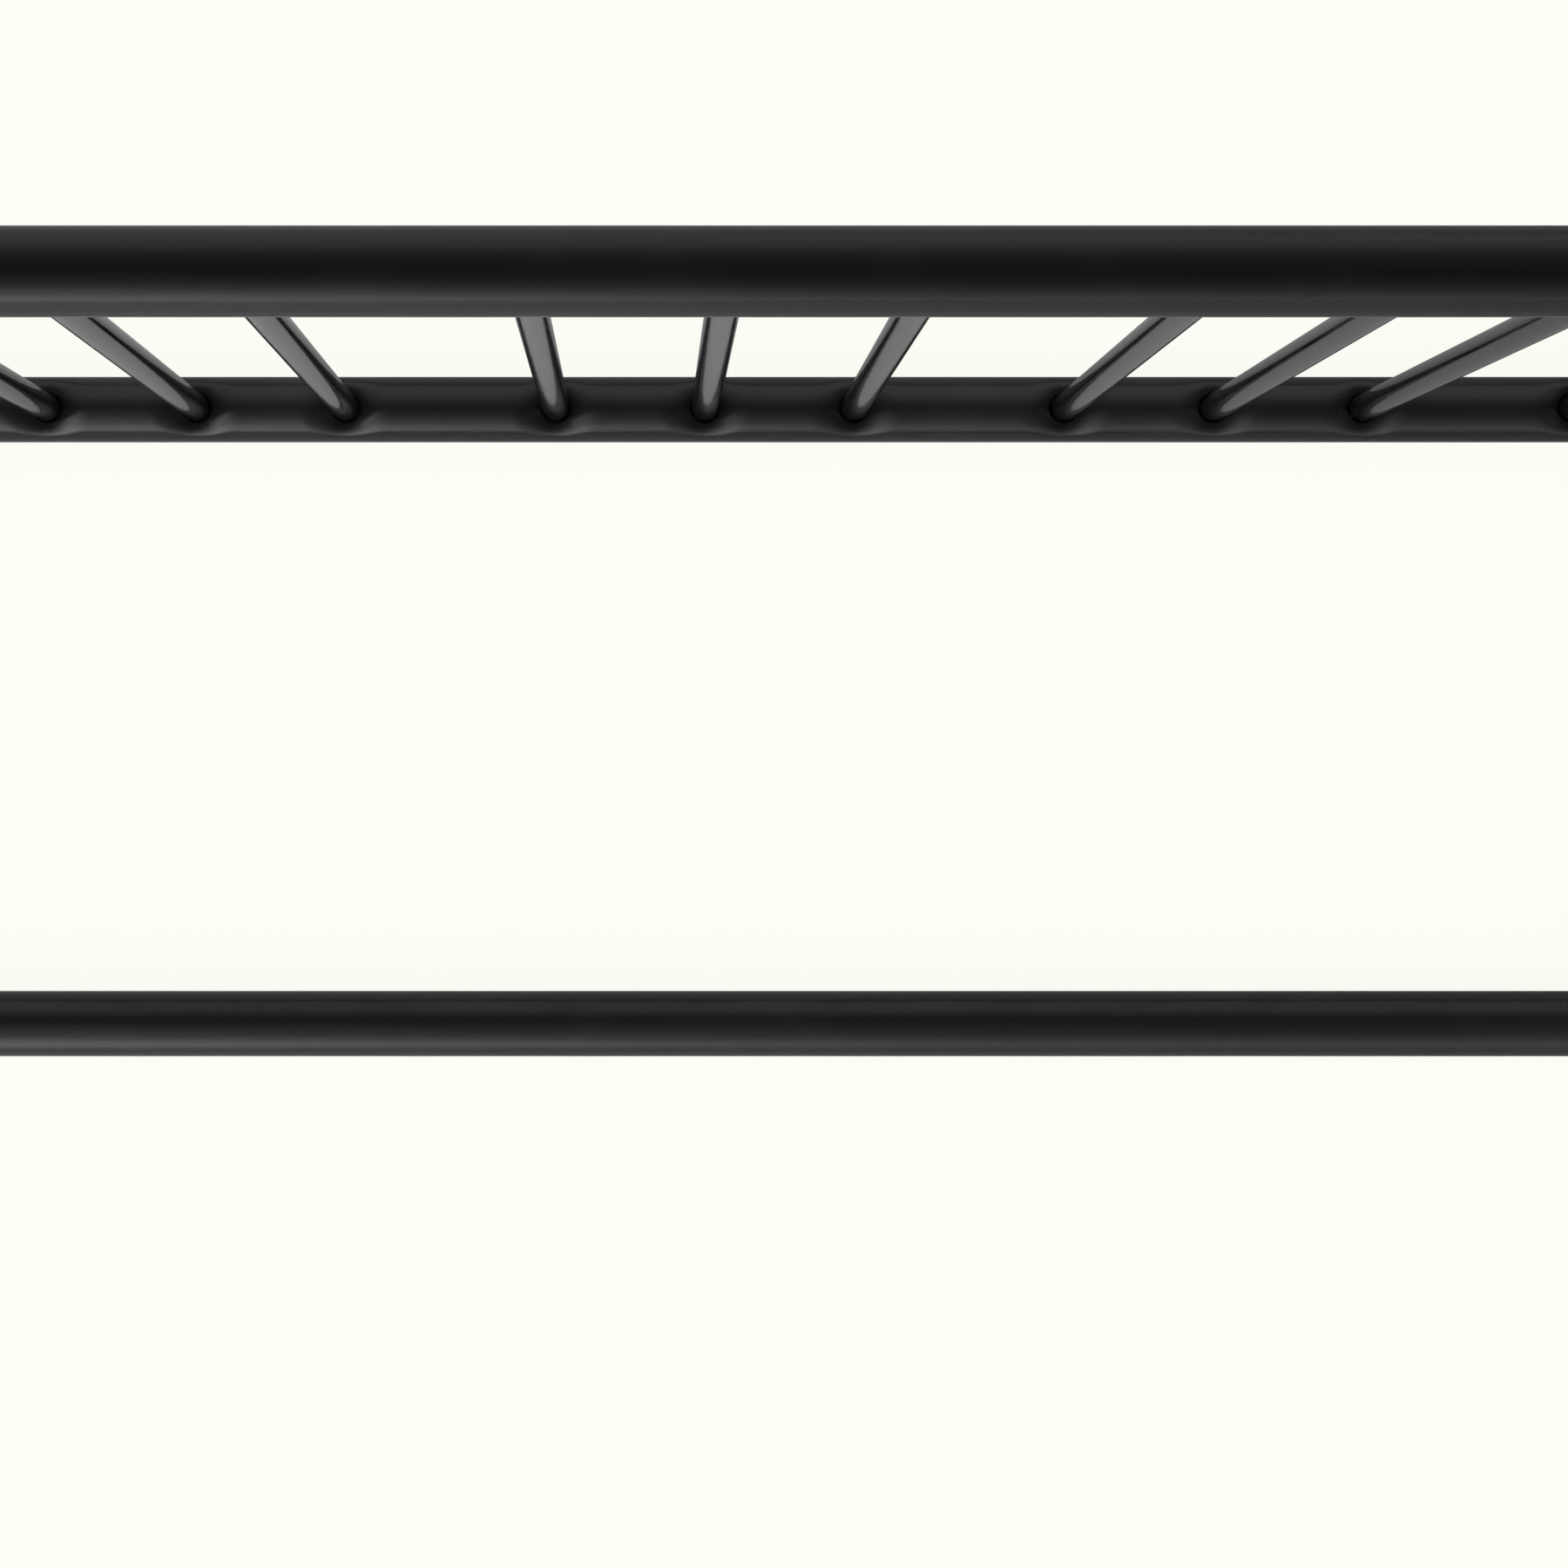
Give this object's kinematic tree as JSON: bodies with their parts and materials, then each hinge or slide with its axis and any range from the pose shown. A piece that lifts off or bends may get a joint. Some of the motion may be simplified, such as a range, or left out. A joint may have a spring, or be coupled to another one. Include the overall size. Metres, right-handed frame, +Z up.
{
  "type": "bike rack",
  "caption": "Free-standing double-sided bike rack: upright bars in groups between a top rail and a low grid rail, with a floor rail on each side and bolted tube end frames.",
  "frame": {"origin": "on the floor, under the middle of the rack", "axes": "+X along the rails, +Y across the rack from the front floor rail to the rear one, +Z up"},
  "size_m": [1.7054, 0.813, 0.711],
  "materials": {
    "powder_coat": "satin black powder coat",
    "black_plastic": "matt moulded black plastic",
    "black_screw": "black oxide",
    "zinc": "zinc plated"
  },
  "bodies": {
    "root": {"top_rail": "powder_coat", "grid_rail": "powder_coat", "front_floor_rail": "powder_coat", "rear_floor_rail": "powder_coat", "bar_01": "powder_coat", "bar_02": "powder_coat", "bar_03": "powder_coat", "bar_04": "powder_coat", "bar_05": "powder_coat", "bar_06": "powder_coat", "bar_07": "powder_coat", "bar_08": "powder_coat", "bar_09": "powder_coat", "bar_10": "powder_coat", "bar_11": "powder_coat", "bar_12": "powder_coat", "bar_13": "powder_coat", "bar_14": "powder_coat", "bar_15": "powder_coat", "left_arch": "powder_coat", "left_base_tube": "powder_coat", "left_front_anchor_tab": "powder_coat", "left_front_end_cap": "black_plastic", "left_rear_anchor_tab": "powder_coat", "left_rear_end_cap": "black_plastic", "left_top_bolt": "black_screw", "left_top_saddle_washer": "black_plastic", "left_top_threaded_plug": "zinc", "left_grid_bolt": "black_screw", "left_grid_saddle_washer": "black_plastic", "left_grid_threaded_plug": "zinc", "left_front_bolt": "black_screw", "left_front_saddle_washer": "black_plastic", "left_front_threaded_plug": "zinc", "left_rear_bolt": "black_screw", "left_rear_saddle_washer": "black_plastic", "left_rear_threaded_plug": "zinc", "right_arch": "powder_coat", "right_base_tube": "powder_coat", "right_front_anchor_tab": "powder_coat", "right_front_end_cap": "black_plastic", "right_rear_anchor_tab": "powder_coat", "right_rear_end_cap": "black_plastic", "right_top_bolt": "black_screw", "right_top_saddle_washer": "black_plastic", "right_top_threaded_plug": "zinc", "right_grid_bolt": "black_screw", "right_grid_saddle_washer": "black_plastic", "right_grid_threaded_plug": "zinc", "right_front_bolt": "black_screw", "right_front_saddle_washer": "black_plastic", "right_front_threaded_plug": "zinc", "right_rear_bolt": "black_screw", "right_rear_saddle_washer": "black_plastic", "right_rear_threaded_plug": "zinc"}
  },
  "joints": []
}
